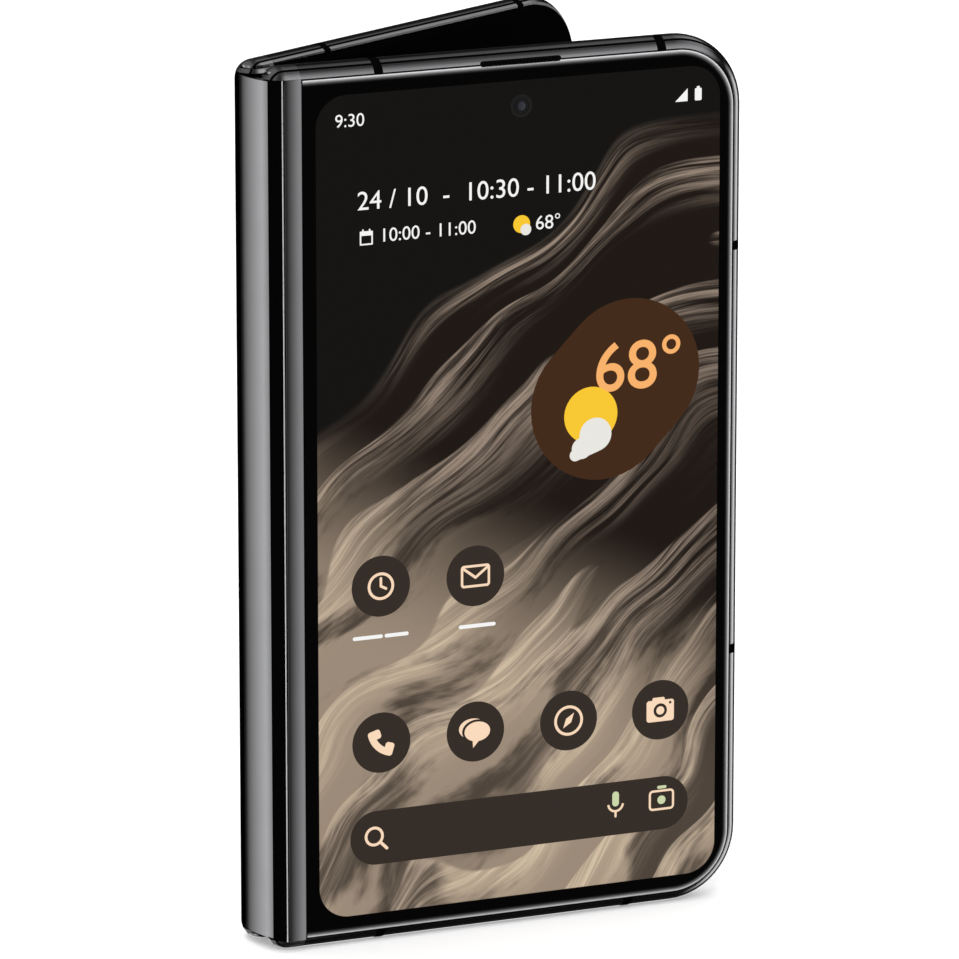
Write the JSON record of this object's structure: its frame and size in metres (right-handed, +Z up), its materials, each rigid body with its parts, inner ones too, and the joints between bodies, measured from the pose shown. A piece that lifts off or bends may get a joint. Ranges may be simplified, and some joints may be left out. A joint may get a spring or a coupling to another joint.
{
  "type": "foldable smartphone",
  "caption": "Book-style foldable smartphone standing half open on its edges, with a lit outer display, a geared hinge and a raised camera bar.",
  "frame": {"origin": "on the table, in the plane of the closed hinge ends, midway between the two halves", "axes": "+Z up along the hinge, +X from the spine towards the free edges, -Y to the outer display"},
  "size_m": [0.0778, 0.048, 0.1397],
  "materials": {
    "dark_metal": "polished dark anodised",
    "end_cap_metal": "polished dark",
    "band_plastic": "satin",
    "cover_glass": "polished",
    "back_glass": "satin",
    "display": "glossy",
    "module_plastic": "matte",
    "mesh": "woven",
    "plate_metal": "machined",
    "battery_pack": "film wrapped",
    "circuit_board": "solder mask",
    "magnet": "plated",
    "hinge_steel": "ground",
    "gear_metal": "machined",
    "spring_steel": "plain",
    "sheet_metal": "pressed",
    "camera_glass": "polished",
    "flash_lens": "frosted",
    "flex_film": "film"
  },
  "bodies": {
    "spine": {"spine_cover": "end_cap_metal", "hinge_brackets": "plate_metal", "hinge_screws": "hinge_steel", "friction_springs": "spring_steel", "inner_display_fold": "display", "hinge_flex": "flex_film"},
    "front_half": {"front_frame": "dark_metal", "front_end_caps": "end_cap_metal", "front_antenna_bands": "band_plastic", "cover_glass": "cover_glass", "outer_display": "display", "selfie_camera": "module_plastic", "earpiece_mesh": "mesh", "earpiece_speaker": "module_plastic", "front_plate": "plate_metal", "front_battery": "battery_pack", "front_board": "circuit_board", "front_magnets": "magnet", "inner_display_front": "display", "front_bezel": "band_plastic", "inner_camera": "module_plastic", "front_arms": "plate_metal", "front_shafts": "hinge_steel", "front_gears": "gear_metal", "front_screws": "hinge_steel"},
    "back_half": {"back_frame": "dark_metal", "back_end_caps": "end_cap_metal", "back_antenna_bands": "band_plastic", "back_glass": "back_glass", "camera_bar": "dark_metal", "camera_window": "camera_glass", "main_camera": "module_plastic", "wide_camera": "module_plastic", "tele_camera": "module_plastic", "flash_light": "flash_lens", "back_plate": "plate_metal", "back_battery": "battery_pack", "main_board": "circuit_board", "board_shield": "sheet_metal", "port_board": "circuit_board", "usb_socket": "sheet_metal", "loudspeaker": "module_plastic", "buzz_motor": "magnet", "back_magnets": "magnet", "inner_display_back": "display", "back_bezel": "band_plastic", "back_arms": "plate_metal", "back_shafts": "hinge_steel", "back_gears": "gear_metal", "back_screws": "hinge_steel", "key_switches": "spring_steel", "card_reader": "sheet_metal"},
    "idler_front": {"idler_gears_front": "gear_metal"},
    "idler_back": {"idler_gears_back": "gear_metal"},
    "power_button": {"power_key": "dark_metal"},
    "volume_rocker": {"volume_key": "dark_metal"},
    "card_drawer": {"card_tray": "dark_metal"}
  },
  "joints": [
    {"name": "front_hinge", "type": "hinge", "parent": "spine", "child": "front_half", "pos_m": [0.002, -0.002, 0], "axis": [0, 0, 1], "range_deg": [-76, 14], "deforming": ["inner_display_fold", "hinge_flex"]},
    {"name": "back_hinge", "type": "hinge", "parent": "spine", "child": "back_half", "pos_m": [0.002, 0.002, 0], "axis": [0, 0, 1], "range_deg": [-14, 76], "deforming": ["inner_display_fold", "hinge_flex"]},
    {"name": "idler_front_spin", "type": "hinge", "parent": "spine", "child": "idler_front", "pos_m": [0.002, -0.0005, 0], "axis": [0, 0, 1], "range_deg": [-28, 152]},
    {"name": "idler_back_spin", "type": "hinge", "parent": "spine", "child": "idler_back", "pos_m": [0.002, 0.0005, 0], "axis": [0, 0, 1], "range_deg": [-152, 28]},
    {"name": "power_press", "type": "slide", "parent": "back_half", "child": "power_button", "axis": [-0.9703, -0.2419, 0], "range_m": [0, 0.0003], "stiffness_N_per_m": 2000, "springref_m": -0.0003},
    {"name": "volume_rock", "type": "hinge", "parent": "back_half", "child": "volume_rocker", "pos_m": [0.07226, 0.0207, 0.076], "axis": [-0.2419, 0.9703, 0], "range_deg": [-1.2, 1.2], "stiffness_Nm_per_rad": 0.6},
    {"name": "card_slide", "type": "slide", "parent": "back_half", "child": "card_drawer", "axis": [0, 0, -1], "range_m": [0, 0.02]}
  ],
  "couplings": [
    {"joint": "back_hinge", "follows": "front_hinge", "ratio": -1},
    {"joint": "idler_front_spin", "follows": "front_hinge", "ratio": -2},
    {"joint": "idler_back_spin", "follows": "front_hinge", "ratio": 2}
  ]
}
